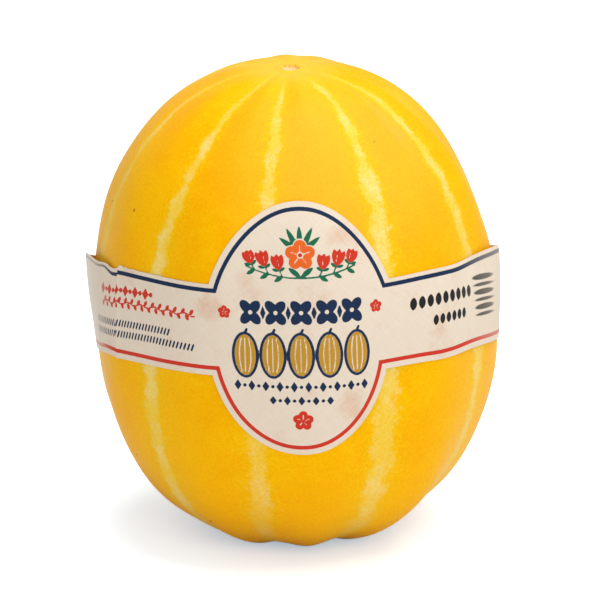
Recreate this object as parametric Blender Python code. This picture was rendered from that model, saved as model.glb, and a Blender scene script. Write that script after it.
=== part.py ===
"""A Korean melon standing on its blossom end, with a paper label band lapped round its middle.

Units are metres and +Z is up. The origin is on the resting plane, below the middle of the melon.
Angles round the melon are in degrees from the front (-Y), positive towards +X. Heights named
"rise" are counted from the melon's widest level.
"""

import math

import bmesh
import bpy

# The melon's smooth body: a superellipse turned about the upright axis
WAIST_RADIUS = 0.04755  # at the widest level
WAIST_HEIGHT = 0.0528  # widest level above the resting plane
STEM_RISE = 0.0596  # widest level to the stem end, before its dimple
BLOSSOM_DROP = 0.0542  # widest level to the blossom end, before it is hollowed
STEM_POWER = 2.18
BLOSSOM_POWER = 2.5

# The body leans like a flat S: towards -X above LEAN_RISE and towards +X below it
LEAN = 0.0009  # the most it leans, LEAN_SPAN above and below that rise
LEAN_RISE = 0.0180
LEAN_SPAN = 0.0510

# Each seam, and the lobe that follows it on its +X side, going round from the front:
# its angle at the widest level, its drift and bow in degrees over DRIFT_RISE, its depth in mm
# at the stem and the blossom end, and how far the lobe swells out in mm at those two ends.
SEAMS = (
    (-78.8, 8.5, 0.0, 0.30, 1.60, 0.00, -0.45),
    (-45.5, 3.7, 8.1, 0.80, 0.05, 0.00, 0.90),
    (-10.3, 3.6, 0.0, 0.80, 0.05, 0.00, 0.85),
    (26.6, 3.1, 0.6, 0.80, 0.40, 0.00, 0.85),
    (63.5, 0.0, -1.5, 0.80, 1.50, 0.50, -1.20),
    (96.5, -13.0, 0.0, 1.60, 1.20, 0.00, 0.00),
    (134.0, -5.0, 0.0, 0.55, 1.20, -0.25, 0.20),
    (170.0, 0.0, 0.0, 0.50, 1.00, -0.35, 0.10),
    (206.0, 3.0, 0.0, 0.80, 1.30, -0.45, 0.00),
    (243.0, 5.0, 0.0, 0.65, 1.20, -0.35, 0.10),
)
DRIFT_RISE = 0.0564
MM = 0.001
WAIST_DEPTH = 0.00080  # the depth of every seam at the widest level
END_START = 0.005  # this far above or below it the seams start to differ
END_FULL = 0.038  # and from here on they have their end's own depth

# Stem end: a shallow dimple with a round scar that has a raised rim
DIMPLE_DEPTH = 0.00085
DIMPLE_RADIUS = 0.0065
STEM_RIM_RADIUS = 0.0025
STEM_RIM_HEIGHT = 0.00035
STEM_RIM_WIDTH = 0.0007
STEM_SCAR_SINK = 0.00040  # how deep the scar lies inside its rim
STEM_SCAR_FLOOR = 0.0010  # radius of its flat floor
SEAM_START = 0.0027  # the seams and lobes fade out between these two radii at the stem end
SEAM_FULL = 0.0200
STEM_SHIFT = 0.0044  # how far the scar sits to the front of the body's middle
STEM_SHIFT_SPAN = 0.0260  # from this radius on, nothing is shifted

# Blossom end: a hollow inside the ring of feet, with a small nub in it
HOLLOW_DEPTH = 0.0046
HOLLOW_RADIUS = 0.0110
NUB_HEIGHT = 0.0009
NUB_RADIUS = 0.0026
NUB_TOP_RADIUS = 0.0008
SEAM_END = 0.0070  # the seams and lobes fade out inside this radius at the blossom end

# Mesh stations
STEM_RINGS = (0.0012, 0.0019, 0.0026, 0.0034, 0.0048, 0.0072, 0.0104)
BLOSSOM_RINGS = (0.0175, 0.0146, 0.0125, 0.0103, 0.0082, 0.0062, 0.0042, 0.0028, 0.0014)
SIDE_RINGS = 30
LOBE_SHARES = (0.0, 0.055, 0.13, 0.27, 0.5, 0.73, 0.87, 0.945)

# Label band: a paper strip on a slightly tilted level, wider at the medallion in front
PAPER_THICKNESS = 0.0004
PAPER_GAP = 0.0003  # between the paper and the lobes under it
STRIP_HEIGHT = 0.0218
STRIP_RISE = 0.0087  # rise of the strip's middle line in front
STRIP_DROP = 0.0120  # how much lower that line is at the back
DROP_START = 35.0  # it drops between these two angles, on both sides
DROP_END = 145.0
STRIP_ROLL = 0.0014  # how much higher it is on the +X side
SIDE_FLARE = 0.0013  # how far the upper edge stands off at the sides
BACK_FLARE = 0.0006  # and at the back
FLARE_START = 50.0  # the edge starts to stand off at this angle
FLARE_POWER = 1.3  # how fast the paper leaves the skin between its two edges
MEDALLION_ANGLE = 1.8
MEDALLION_RISE = 0.0083
MEDALLION_HALF_WIDTH = 0.0214
MEDALLION_HALF_HEIGHT = 0.0287
MEDALLION_POWER = 2.2
MEDALLION_STEPS = 12  # columns on each side of its middle
MEDALLION_SHOWN = 0.8  # they stop short of its two ends, which lie inside the strip
STRIP_COLUMNS = 42  # columns of the rest of the band
BAND_ROWS = 8
LAP_ANGLE = 183.0  # where the ends of the strip are lapped and stuck
LAP_LENGTH = 0.0090
LAP_EDGE = 0.00015


def clear_scene():
    for item in list(bpy.data.objects):
        bpy.data.objects.remove(item, do_unlink=True)


def material(name, colour, roughness, metallic=0.0):
    made = bpy.data.materials.new(name)
    made.use_nodes = True
    shader = made.node_tree.nodes["Principled BSDF"]
    shader.inputs["Base Color"].default_value = (*colour, 1.0)
    shader.inputs["Roughness"].default_value = roughness
    shader.inputs["Metallic"].default_value = metallic
    return made


def blend(low, high, value):
    """0 below low, 1 above high and a smooth rise between them."""
    share = min(1.0, max(0.0, (value - low) / (high - low)))
    return share * share * (3.0 - 2.0 * share)


def lean_at(rise):
    share = (rise - LEAN_RISE) / LEAN_SPAN
    return -LEAN * 2.0 * share / (1.0 + share * share)


def half_of(rise):
    """The height and power of the half that holds this rise."""
    if rise > 0:
        return STEM_RISE, STEM_POWER
    return BLOSSOM_DROP, BLOSSOM_POWER


def body_radius(rise):
    reach, power = half_of(rise)
    share = min(1.0, abs(rise) / reach)
    return WAIST_RADIUS * (1.0 - share**power) ** (1.0 / power)


def body_rise(radius, upper):
    """The rise where the smooth body has this radius, in its upper or lower half."""
    sign = 1.0 if upper else -1.0
    reach, power = half_of(sign)
    return sign * reach * (1.0 - (radius / WAIST_RADIUS) ** power) ** (1.0 / power)


def body_normal(radius, rise):
    """The outward normal of the smooth body's outline, as (outward, upward)."""
    reach, power = half_of(rise)
    outward = (radius / WAIST_RADIUS) ** (power - 1.0) / WAIST_RADIUS
    upward = math.copysign((abs(rise) / reach) ** (power - 1.0) / reach, rise)
    length = math.hypot(outward, upward)
    return outward / length, upward / length


def seam_angle(index, rise):
    turns, place = divmod(index, len(SEAMS))
    angle, drift, bow = SEAMS[place][:3]
    share = rise / DRIFT_RISE
    return angle + 360.0 * turns + drift * share + bow * share * share


def between_ends(rise, waist, stem, blossom):
    """A value that changes from its waist value to the stem's or the blossom end's."""
    up = blend(END_START, END_FULL, rise)
    down = blend(END_START, END_FULL, -rise)
    return waist * (1.0 - up - down) + stem * up + blossom * down


def relief(lobe, share, radius, rise, upper):
    """How far the skin lies outside the smooth body, at this share of the way across a lobe."""
    nearest = lobe if share < 0.5 else lobe + 1
    stem_depth, blossom_depth = SEAMS[nearest % len(SEAMS)][3:5]
    stem_swell, blossom_swell = SEAMS[lobe % len(SEAMS)][5:7]
    depth = between_ends(rise, WAIST_DEPTH, stem_depth * MM, blossom_depth * MM)
    swell = between_ends(rise, 0.0, stem_swell * MM, blossom_swell * MM)
    crest = (1.0 - math.cos(2.0 * math.pi * share)) / 2.0
    fade = blend(SEAM_START, SEAM_FULL, radius) if upper else blend(NUB_RADIUS, SEAM_END, radius)
    return (swell * crest - depth * (1.0 - crest)) * fade


def end_relief(radius, upper):
    """The change of height that the two ends' dimple, hollow and scars make."""
    if upper:
        dimple = DIMPLE_DEPTH * math.exp(-((radius / DIMPLE_RADIUS) ** 2))
        rim = STEM_RIM_HEIGHT * math.exp(-(((radius - STEM_RIM_RADIUS) / STEM_RIM_WIDTH) ** 2))
        sink = STEM_SCAR_SINK * (1.0 - blend(STEM_SCAR_FLOOR, STEM_RIM_RADIUS, radius))
        return rim - dimple - sink
    hollow = HOLLOW_DEPTH * max(0.0, 1.0 - (radius / HOLLOW_RADIUS) ** 2) ** 2
    nub = NUB_HEIGHT * (1.0 - blend(NUB_TOP_RADIUS, NUB_RADIUS, radius))
    return hollow - nub


def skin_point(radius, rise, upper, lobe, share):
    """One point of the melon's skin, flattened where it would pass below the resting plane."""
    start = seam_angle(lobe, rise)
    angle = math.radians(start + share * (seam_angle(lobe + 1, rise) - start))
    height = relief(lobe, share, radius, rise, upper)
    x, y = radius * math.sin(angle), -radius * math.cos(angle)
    if upper:
        y -= STEM_SHIFT * (1.0 - blend(0.0, STEM_SHIFT_SPAN, radius))
    shifted = min(WAIST_RADIUS, math.hypot(x, y))
    level = body_rise(shifted, upper)
    outward, upward = body_normal(shifted, level)
    return (
        lean_at(rise) + x + height * outward * math.sin(angle),
        y - height * outward * math.cos(angle),
        max(0.0, WAIST_HEIGHT + level + height * upward + end_relief(radius, upper)),
    )


def melon_stations():
    """(radius, rise, upper) of each ring of the skin, from the stem end to the blossom end."""
    rings = [(radius, body_rise(radius, True), True) for radius in STEM_RINGS]
    first = math.asin((STEM_RINGS[-1] / WAIST_RADIUS) ** (STEM_POWER / 2.0))
    last = math.pi - math.asin((BLOSSOM_RINGS[0] / WAIST_RADIUS) ** (BLOSSOM_POWER / 2.0))
    for step in range(1, SIDE_RINGS):
        polar = first + (last - first) * step / SIDE_RINGS
        upper = polar < math.pi / 2.0
        power = STEM_POWER if upper else BLOSSOM_POWER
        radius = WAIST_RADIUS * math.sin(polar) ** (2.0 / power)
        rings.append((radius, body_rise(radius, upper), upper))
    rings += [(radius, body_rise(radius, False), False) for radius in BLOSSOM_RINGS]
    return rings


def finish_object(name, mesh_data, skin):
    """Turn the mesh's faces outwards, and put it in the scene with its material."""
    bmesh.ops.recalc_face_normals(mesh_data, faces=mesh_data.faces)
    mesh = bpy.data.meshes.new(name)
    mesh_data.to_mesh(mesh)
    mesh_data.free()
    mesh.shade_smooth()
    mesh.materials.append(skin)
    made = bpy.data.objects.new(name, mesh)
    bpy.context.scene.collection.objects.link(made)
    return made


def bridge(mesh_data, first, second):
    """Quads between two closed rings of as many vertices."""
    for here in range(len(first)):
        after = (here + 1) % len(first)
        mesh_data.faces.new((first[here], second[here], second[after], first[after]))


def close_end(mesh_data, ring, point):
    """A fan of triangles from a ring to one point."""
    middle = mesh_data.verts.new(point)
    for here in range(len(ring)):
        mesh_data.faces.new((ring[here], ring[(here + 1) % len(ring)], middle))


def make_melon():
    mesh_data = bmesh.new()
    rings = []
    for radius, rise, upper in melon_stations():
        rings.append(
            [
                mesh_data.verts.new(skin_point(radius, rise, upper, lobe, share))
                for lobe in range(len(SEAMS))
                for share in LOBE_SHARES
            ]
        )
    for first, second in zip(rings, rings[1:]):
        bridge(mesh_data, first, second)
    close_end(mesh_data, rings[0], skin_point(0.0, STEM_RISE, True, 0, 0.0))
    close_end(mesh_data, rings[-1], skin_point(0.0, -BLOSSOM_DROP, False, 0, 0.0))
    return finish_object("melon", mesh_data, material("melon_skin", (0.93, 0.50, 0.02), 0.38))


def from_front(angle):
    """The angle between this direction and the front, without its sign."""
    return abs((angle + 180.0) % 360.0 - 180.0)


def band_edges(angle):
    """The rise of the label's lower and upper edge at this angle."""
    middle = STRIP_RISE - STRIP_DROP * blend(DROP_START, DROP_END, from_front(angle))
    middle += STRIP_ROLL * math.sin(math.radians(angle))
    lower = middle - STRIP_HEIGHT / 2.0
    upper = middle + STRIP_HEIGHT / 2.0
    across = abs(math.radians(angle - MEDALLION_ANGLE)) * WAIST_RADIUS / MEDALLION_HALF_WIDTH
    if across < 1.0:
        reach = MEDALLION_HALF_HEIGHT * (1.0 - across**MEDALLION_POWER) ** (1.0 / MEDALLION_POWER)
        lower = min(lower, MEDALLION_RISE - reach)
        upper = max(upper, MEDALLION_RISE + reach)
    return lower, upper


def lobe_at(angle, rise):
    """The lobe that holds this angle, and the share of the way across it."""
    for lobe in range(-len(SEAMS), 2 * len(SEAMS)):
        start = seam_angle(lobe, rise)
        end = seam_angle(lobe + 1, rise)
        if start <= angle < end:
            return lobe, (angle - start) / (end - start)
    raise ValueError("no lobe holds this angle")


def edge_flare(angle):
    """How far the upper edge stands off the skin at this angle."""
    beside = from_front(angle)
    side = SIDE_FLARE * blend(FLARE_START, 90.0, beside)
    return side + (BACK_FLARE - SIDE_FLARE) * blend(90.0, 180.0, beside)


def lap_share(angle):
    """1 where the strip's two ends lie one on the other, 0 elsewhere."""
    away = math.radians(from_front(angle - LAP_ANGLE)) * WAIST_RADIUS
    return 1.0 if away < LAP_LENGTH / 2.0 else 0.0


def band_angles():
    """The angles of the band's columns, once round from the medallion's -X side."""
    medallion = math.degrees(MEDALLION_HALF_WIDTH / WAIST_RADIUS)
    widest = MEDALLION_SHOWN * math.pi / 2.0
    angles = [
        MEDALLION_ANGLE + medallion * math.sin(widest * step / MEDALLION_STEPS)
        for step in range(-MEDALLION_STEPS, MEDALLION_STEPS + 1)
    ]
    start = angles[-1]
    span = angles[0] + 360.0 - start
    strip = [start + span * step / STRIP_COLUMNS for step in range(1, STRIP_COLUMNS)]
    lap = math.degrees(LAP_LENGTH / 2.0 / WAIST_RADIUS)
    edge = math.degrees(LAP_EDGE / WAIST_RADIUS)
    for side in (-1.0, 1.0):
        strip += [LAP_ANGLE + side * (lap - edge), LAP_ANGLE + side * (lap + edge)]
    return angles + sorted(strip)


def band_point(angle, row, outside):
    """One point of the paper: on its inner or its outer face, in this column and row."""
    lower, upper = band_edges(angle)
    rise = lower + (upper - lower) * row / BAND_ROWS
    turn = math.radians(angle)
    radius = body_radius(rise)
    lobe, share = lobe_at(angle, rise)
    crest = max(0.0, relief(lobe, share, radius, rise, rise > 0.0))
    stand_off = crest + PAPER_GAP + edge_flare(angle) * (row / BAND_ROWS) ** FLARE_POWER
    if outside:
        stand_off += PAPER_THICKNESS * (1.0 + lap_share(angle))
    outward, upward = body_normal(radius, rise)
    reach = radius + stand_off * outward
    return (
        lean_at(rise) + reach * math.sin(turn),
        -reach * math.cos(turn),
        WAIST_HEIGHT + rise + stand_off * upward,
    )


def make_label_band():
    mesh_data = bmesh.new()
    angles = band_angles()
    rings = []
    for row in range(BAND_ROWS + 1):
        rings.append([mesh_data.verts.new(band_point(angle, row, False)) for angle in angles])
    for row in range(BAND_ROWS, -1, -1):
        rings.append([mesh_data.verts.new(band_point(angle, row, True)) for angle in angles])
    for here in range(len(rings)):
        bridge(mesh_data, rings[here], rings[(here + 1) % len(rings)])
    return finish_object("label_band", mesh_data, material("label_paper", (0.86, 0.78, 0.66), 0.62))


def main():
    clear_scene()
    make_melon()
    make_label_band()


main()
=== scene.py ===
"""The looks of a Korean melon with a paper label band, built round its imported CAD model.

Units are metres and +Z is up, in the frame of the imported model. Angles round the melon are in
degrees from the front (-Y), positive towards +X. Heights named "rise" are counted from the melon's
widest level. The label's print is laid out in millimetres on the flat paper.
"""

import math

import bmesh
import bpy
import numpy as np
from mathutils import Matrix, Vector


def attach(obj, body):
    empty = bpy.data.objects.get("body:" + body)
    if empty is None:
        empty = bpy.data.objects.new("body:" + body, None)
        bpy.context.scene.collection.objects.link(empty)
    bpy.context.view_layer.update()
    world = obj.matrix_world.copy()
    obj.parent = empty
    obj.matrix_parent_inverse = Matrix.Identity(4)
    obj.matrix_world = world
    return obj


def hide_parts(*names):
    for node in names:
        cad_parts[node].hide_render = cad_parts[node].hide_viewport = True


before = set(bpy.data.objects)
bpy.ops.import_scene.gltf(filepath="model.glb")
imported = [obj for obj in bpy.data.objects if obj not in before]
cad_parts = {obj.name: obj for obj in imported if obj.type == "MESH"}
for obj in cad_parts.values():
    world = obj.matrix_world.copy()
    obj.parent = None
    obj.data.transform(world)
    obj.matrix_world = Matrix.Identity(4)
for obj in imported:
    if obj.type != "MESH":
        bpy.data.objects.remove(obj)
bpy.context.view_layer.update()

MM = 0.001  # a millimetre, in metres

# The melon's body, lean and seams, as its CAD source has them. The body's outline is a superellipse
# above its widest level and another below it, each with its own reach and power
WAIST_RADIUS = 0.04755
WAIST_HEIGHT = 0.0528
STEM_RISE = 0.0596
BLOSSOM_DROP = 0.0542
STEM_POWER = 2.18
BLOSSOM_POWER = 2.5
LEAN = 0.0009  # how far the body's middle strays, towards -X above LEAN_RISE and towards +X below it
LEAN_RISE = 0.0180
LEAN_SPAN = 0.0510

# Each seam, and the lobe that follows it on its +X side: its angle at the widest level, its drift
# and bow in degrees over DRIFT_RISE, its depth in mm at the stem and the blossom end, how far the
# lobe swells out in mm at those two ends, and the strength of its pale stripe above and below the
# label, and its share of the usual width
SEAMS = np.array([
    (-78.8, 8.5, 0.0, 0.30, 1.60, 0.00, -0.45, 0.55, 0.20, 0.80),
    (-45.5, 3.7, 8.1, 0.80, 0.05, 0.00, 0.90, 0.80, 0.85, 0.88),
    (-10.3, 3.6, 0.0, 0.80, 0.05, 0.00, 0.85, 0.85, 0.66, 1.00),
    (26.6, 3.1, 0.6, 0.80, 0.40, 0.00, 0.85, 0.95, 0.84, 1.15),
    (63.5, 0.0, -1.5, 0.80, 1.50, 0.50, -1.20, 0.75, 0.70, 0.95),
    (96.5, -13.0, 0.0, 1.60, 1.20, 0.00, 0.00, 0.50, 0.60, 0.90),
    (134.0, -5.0, 0.0, 0.55, 1.20, -0.25, 0.20, 0.80, 0.70, 1.00),
    (170.0, 0.0, 0.0, 0.50, 1.00, -0.35, 0.10, 0.90, 0.80, 1.05),
    (206.0, 3.0, 0.0, 0.80, 1.30, -0.45, 0.00, 0.70, 0.75, 0.95),
    (243.0, 5.0, 0.0, 0.65, 1.20, -0.35, 0.10, 0.80, 0.60, 1.00),
])
DRIFT_RISE = 0.0564
WAIST_DEPTH = 0.00080  # every seam's depth at the widest level
END_RISES = (0.005, 0.038)  # from the first rise to the second, up or down, the ends' values take over
STEM_SEAMS = (0.0027, 0.0200)  # the seams fade in between these radii at the stem end
BLOSSOM_SEAMS = (0.0026, 0.0070)

# The stem end's dimple, with the raised rim and the sunk floor of its scar
STEM_SHIFT = 0.0044  # how far the scar sits to the front of the body's middle
STEM_SHIFT_SPAN = 0.026
DIMPLE_DEPTH, DIMPLE_RADIUS = 0.00085, 0.0065
RIM_RADIUS, RIM_HEIGHT, RIM_WIDTH = 0.0025, 0.00035, 0.0007
SCAR_SINK, SCAR_FLOOR_RADIUS = 0.00040, 0.0010

# The blossom end's hollow, with the low nub of its scar
HOLLOW_DEPTH, HOLLOW_RADIUS = 0.0046, 0.0110
NUB_HEIGHT = 0.0009
NUB_RADII = (0.0008, 0.0026)  # of its top and its foot

# The fine skin's mesh
END_RINGS = 34  # rings inside END_RADIUS at each end
END_RADIUS = 0.0080
SIDE_RINGS = 168
LOBE_COLUMNS = 36

# The skin's slow unevenness, from crossed waves
SWELL = 0.00007
SWELL_WAVES = 9
SWELL_TURNS = (2, 15)  # how many waves go round the melon, the last not included
SWELL_ALONG = 260.0  # radians a metre up the melon, at most
SWELL_RADII = (0.002, 0.012)  # it fades in between these
SWELL_SEED = 11

# The stripes: half widths and shares of their strength, at these rises
STRIPE_RISES = (-0.0541, -0.0490, -0.0400, -0.0200, 0.0000, 0.0200, 0.0350, 0.0500, 0.0580, 0.0593)
STRIPE_HALF_WIDTHS = (0.0014, 0.0020, 0.0026, 0.0028, 0.0027, 0.0024, 0.0019, 0.0012, 0.0008, 0.0006)
STRIPE_SHOWN = (0.0, 0.45, 0.75, 0.9, 1.0, 1.0, 1.0, 0.85, 0.60, 0.0)
STRIPE_TURN = (-0.010, 0.020)  # behind the label the lower strength becomes the upper one
STRIPE_WOBBLE = 0.0004  # how far a stripe strays from its seam
STRIPE_SWELL = 0.25  # the share by which its width comes and goes
STRIPE_WAVES = 5  # added up for the wobble, and again for the swelling
STRIPE_FREQUENCIES = (120.0, 900.0)  # radians a metre
WOBBLE_SEED, SWELLING_SEED = 100, 200  # plus the seam's number
NO_STRIPE = 9.0  # half widths from any stripe, for the points at the two tips
FAR = 1.0  # metres from a scar, for the points of the other end

# The label, as the CAD source has it, with a thinner paper
PAPER_THICKNESS = 0.00013
PAPER_GAP = 0.00008
PAPER_FOLLOWS = 0.85  # how much of a seam's depth the paper follows
STRIP_HEIGHT = 0.0218
STRIP_RISE = 0.0087  # of the strip's middle in front
STRIP_DROP = 0.0120  # how much lower it is behind
DROP_ANGLES = (35.0, 145.0)
STRIP_ROLL = 0.0014  # how much higher it is at the +X side
MEDALLION_ANGLE = 1.8
MEDALLION_RISE = 0.0083
MEDALLION_POWER = 2.1
UPPER_HALF = (2.14, 0.0232, 0.0285)  # the medallion's upper half: middle angle, half width and height
LOWER_HALF = (1.00, 0.0216, 0.0291)
LAP_ANGLE = 183.0
LAP_LENGTH = 0.0090
LAP_CLIMB = math.degrees(0.0040 / WAIST_RADIUS)  # over this angle the upper end climbs onto the lower one
LAP_HALF = math.degrees(LAP_LENGTH / 2.0 / WAIST_RADIUS)
LAP_GAP = 0.0001

# How far the upper edge stands off, at the -X side, the +X side and the back
LEFT_FLARE = 0.0020
RIGHT_FLARE = 0.0016
BACK_FLARE = 0.0005
FLARE_ANGLES = (58.0, 84.0)
FLARE_END_ANGLES = (90.0, 104.0)
FLARE_POWER = 1.4  # how the flare grows towards the edge

# Where the upper edge peaks at each side, how high and over how many degrees, and how far it dips behind
LEFT_PEAK = (-85.0, 0.0012, 11.0)
RIGHT_PEAK = (80.0, 0.0007, 9.0)
DIP, DIP_ANGLE, DIP_SPAN = 0.0010, 108.0, 14.0

# How much lower the upper edge is beside the medallion, and the angles between which it climbs back
LEFT_SAG = (0.0009, 35.0, 64.0)
RIGHT_SAG = (0.0013, 51.0, 72.0)
SAG_TURN = 15.0  # the two are blended over this many degrees each way from the front

# Slow waves of the edges, and the small fibres beside the pleat: place, height and span in degrees
LOWER_WAVES = ((46.0, -0.0004, 9.0), (-43.0, -0.0003, 9.0), (-66.0, 0.0005, 6.0))
FOLDED_EDGE = ((-68.5, 0.0004, 3.0), (-63.2, -0.0003, 2.2))
TORN_EDGE = ((-58.3, 0.00035, 0.7), (-56.2, 0.00025, 0.6), (-53.0, 0.00015, 0.9))

# The pleat near the -X side, where the paper is tucked under itself
PLEAT_ANGLE = -59.6
PLEAT_STEP = 0.00045  # how far its -X side is lower
PLEAT_STEP_SPAN = 26.0  # degrees
PLEAT_LIFT = 0.00030
PLEAT_LIFT_SPAN = 2.6
PLEAT_HALF_WIDTH = 0.06

# Small creases of the paper, and the ranges of their tilt, place, width, reach and middle
CREASES = 26
CREASE_SEED = 5
CREASE_RANGES = ((-0.9, 0.9), (-0.085, 0.085), (0.0012, 0.0040), (0.008, 0.02), (-0.01, 0.02))
CREASE_HEIGHT = 0.00005
LOOSE_CREASE_HEIGHT = 0.00025  # more, where the paper stands off at the sides
LOOSE_ANGLES = (50.0, 75.0)

# The label's mesh
STRIP_ROWS = 76
CAP_ROWS = 60
ROWS = np.arange(-CAP_ROWS, STRIP_ROWS + CAP_ROWS + 1)
MEDALLION_COLUMNS = 184
MEDALLION_SPREAD = 1.28  # radians of the sine that sets the columns closer at the medallion's sides
COLUMN_STEPS = ((62.0, 0.43), (90.0, 0.62), (200.0, 0.72))  # up to this angle, this many degrees
CORNER_CLEARANCE = 0.05  # degrees from a corner's own column to the next
TINY = 1e-9  # a corner's own column has no cap
INNER_STEP = 4  # the inner face keeps one row in this many
RIM_ANGLE = math.radians(50.0)  # edges sharper than this, at the paper's rim, aren't smoothed

# Print, in mm on the flat paper
MARGIN = 1.30
UPPER_MARGIN = 0.85  # the navy line's, along the strip
LINE_WIDTH = 0.96
TUCKED_MARGIN = (0.55, 1.00)  # the navy line's beyond the pleat: far off, and beside it
TUCKED_LINE = (0.50, 0.90)
TUCKED_SPAN = 10.0  # degrees over which they change
TUCKED_REACH = (-118.0, -95.0)  # the angles over which the line becomes the usual one again
UNPRINTED = -5.0  # far outside every shape
TULIP_SPREAD = 19.4806  # degrees between a tulip's petals
SEPAL_SPREAD = 65.8901
STAINS = (  # warm blotches: x, y, radius in mm and strength
    (9.5, 20.7, 3.0, 0.8),
    (14.0, 17.0, 3.0, 0.6),
    (-11.5, 10.0, 4.2, 0.8),
    (4.5, 9.5, 3.2, 0.5),
    (11.1, -17.4, 3.6, 0.9),
    (1.6, -14.5, 2.6, 0.5),
    (-20.5, 4.5, 4.0, 1.0),
    (-30.0, -6.0, 5.0, 0.5),
    (-46.0, 7.0, 5.0, 0.5),
    (-55.0, -9.0, 4.0, 0.4),
    (33.0, -6.0, 5.0, 0.5),
    (44.0, 2.0, 6.0, 0.3),
)
FADE_LEFT = (60.0, 80.0)  # the print fades out between these angles at the -X side
FADE_RIGHT = (52.0, 84.0)  # and partly at the +X side
FADE_RIGHT_SHARE = 0.55  # how much of it is gone there
FADE_END = (84.0, 96.0)  # it comes back between these at both sides
PAINTED_SHEEN_BAND = (72.0, 86.0, 97.0)  # a painted sheen band near the fold at the -X side, paler paper standing in for a grazing sheen: its start, middle and end
INKS = {
    "gold": (0.48, 0.250, 0.018),
    "orange": (0.72, 0.115, 0.010),
    "green": (0.004, 0.120, 0.055),
    "red": (0.56, 0.028, 0.010),
    "black": (0.010, 0.010, 0.011),
    "navy": (0.003, 0.018, 0.060),
}


def blend(low, high, value):
    """0 below low, 1 above high and a smooth rise between them."""
    share = np.clip((np.asarray(value, float) - low) / (high - low), 0.0, 1.0)
    return share * share * (3.0 - 2.0 * share)


# ---- the melon's shape


def lean_at(rise):
    """How far the body's middle lies towards +X."""
    share = (rise - LEAN_RISE) / LEAN_SPAN
    return -LEAN * 2.0 * share / (1.0 + share * share)


def outline_at(rise):
    """The reach and the power of the body's outline above or below the widest level."""
    above = np.asarray(rise) > 0
    return np.where(above, STEM_RISE, BLOSSOM_DROP), np.where(above, STEM_POWER, BLOSSOM_POWER)


def body_radius(rise):
    """The smooth body's radius at this rise."""
    reach, power = outline_at(rise)
    share = np.minimum(1.0, np.abs(rise) / reach)
    return WAIST_RADIUS * (1.0 - share**power) ** (1.0 / power)


def body_rise(radius, upper):
    """The rise at which the smooth body's upper or lower part has this radius."""
    sign = 1.0 if upper else -1.0
    reach, power = outline_at(sign)  # only the sign counts there
    return sign * reach * (1.0 - (radius / WAIST_RADIUS) ** power) ** (1.0 / power)


def body_normal(radius, rise):
    """The outward normal of the smooth body's outline, as (outward, upward)."""
    reach, power = outline_at(rise)
    outward = (radius / WAIST_RADIUS) ** (power - 1.0) / WAIST_RADIUS
    upward = np.copysign((np.abs(rise) / reach) ** (power - 1.0) / reach, rise)
    length = np.hypot(outward, upward)
    return outward / length, upward / length


def seam_angle(index, rise):
    """A seam's angle. The numbers go on round the melon, a full turn for every ten."""
    turns, place = np.divmod(index, len(SEAMS))
    angle, drift, bow = (SEAMS[place, column] for column in (0, 1, 2))
    share = rise / DRIFT_RISE
    return angle + 360.0 * turns + drift * share + bow * share * share


def between_ends(rise, waist, stem, blossom):
    up = blend(*END_RISES, rise)
    down = blend(*END_RISES, -rise)
    return waist * (1.0 - up - down) + stem * up + blossom * down


def relief(lobe, share, radius, rise):
    """How far the skin lies outside the smooth body, at this share of the way across a lobe."""
    nearest = SEAMS[np.where(share < 0.5, lobe, lobe + 1) % len(SEAMS)]
    own = SEAMS[lobe % len(SEAMS)]
    depth = between_ends(rise, WAIST_DEPTH, nearest[..., 3] * MM, nearest[..., 4] * MM)
    swell = between_ends(rise, 0.0, own[..., 5] * MM, own[..., 6] * MM)
    crest = (1.0 - np.cos(2.0 * np.pi * share)) / 2.0
    fade = np.where(rise > 0, blend(*STEM_SEAMS, radius), blend(*BLOSSOM_SEAMS, radius))
    return (swell * crest - depth * (1.0 - crest)) * fade


def end_relief(radius, rise):
    """The change of height that the two ends' dimple, hollow and scars make."""
    dimple = DIMPLE_DEPTH * np.exp(-((radius / DIMPLE_RADIUS) ** 2))
    rim = RIM_HEIGHT * np.exp(-(((radius - RIM_RADIUS) / RIM_WIDTH) ** 2))
    sink = SCAR_SINK * (1.0 - blend(SCAR_FLOOR_RADIUS, RIM_RADIUS, radius))
    hollow = HOLLOW_DEPTH * np.maximum(0.0, 1.0 - (radius / HOLLOW_RADIUS) ** 2) ** 2
    nub = NUB_HEIGHT * (1.0 - blend(*NUB_RADII, radius))
    return np.where(rise > 0, rim - dimple - sink, hollow - nub)


def skin_points(radius, rise, angle, height):
    """Points of the skin this high above the smooth body, with the stem end drawn to the front."""
    turn = np.radians(angle)
    shift = np.where(rise > 0, STEM_SHIFT * (1.0 - blend(0.0, STEM_SHIFT_SPAN, radius)), 0.0)
    x, y = radius * np.sin(turn), -radius * np.cos(turn) - shift
    moved = np.minimum(np.hypot(x, y), WAIST_RADIUS)
    level = np.where(rise > 0, body_rise(moved, True), rise)
    outward, upward = body_normal(moved, level)
    x = lean_at(rise) + x + height * outward * np.sin(turn)
    y = y - height * outward * np.cos(turn)
    z = WAIST_HEIGHT + level + height * upward + end_relief(radius, rise)
    return np.stack((x, y, np.maximum(0.0, z)), axis=-1)


def slow_swell(angle, rise):
    """The skin's slow unevenness."""
    draw = np.random.default_rng(SWELL_SEED)
    turn = np.radians(angle)
    total = np.zeros(np.broadcast(angle, rise).shape)
    for _ in range(SWELL_WAVES):
        around = draw.integers(*SWELL_TURNS)
        along = draw.uniform(-SWELL_ALONG, SWELL_ALONG)
        total += np.sin(around * turn + along * rise + draw.uniform(0.0, 2.0 * np.pi))
    return SWELL * total / math.sqrt(SWELL_WAVES / 2.0)


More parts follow.
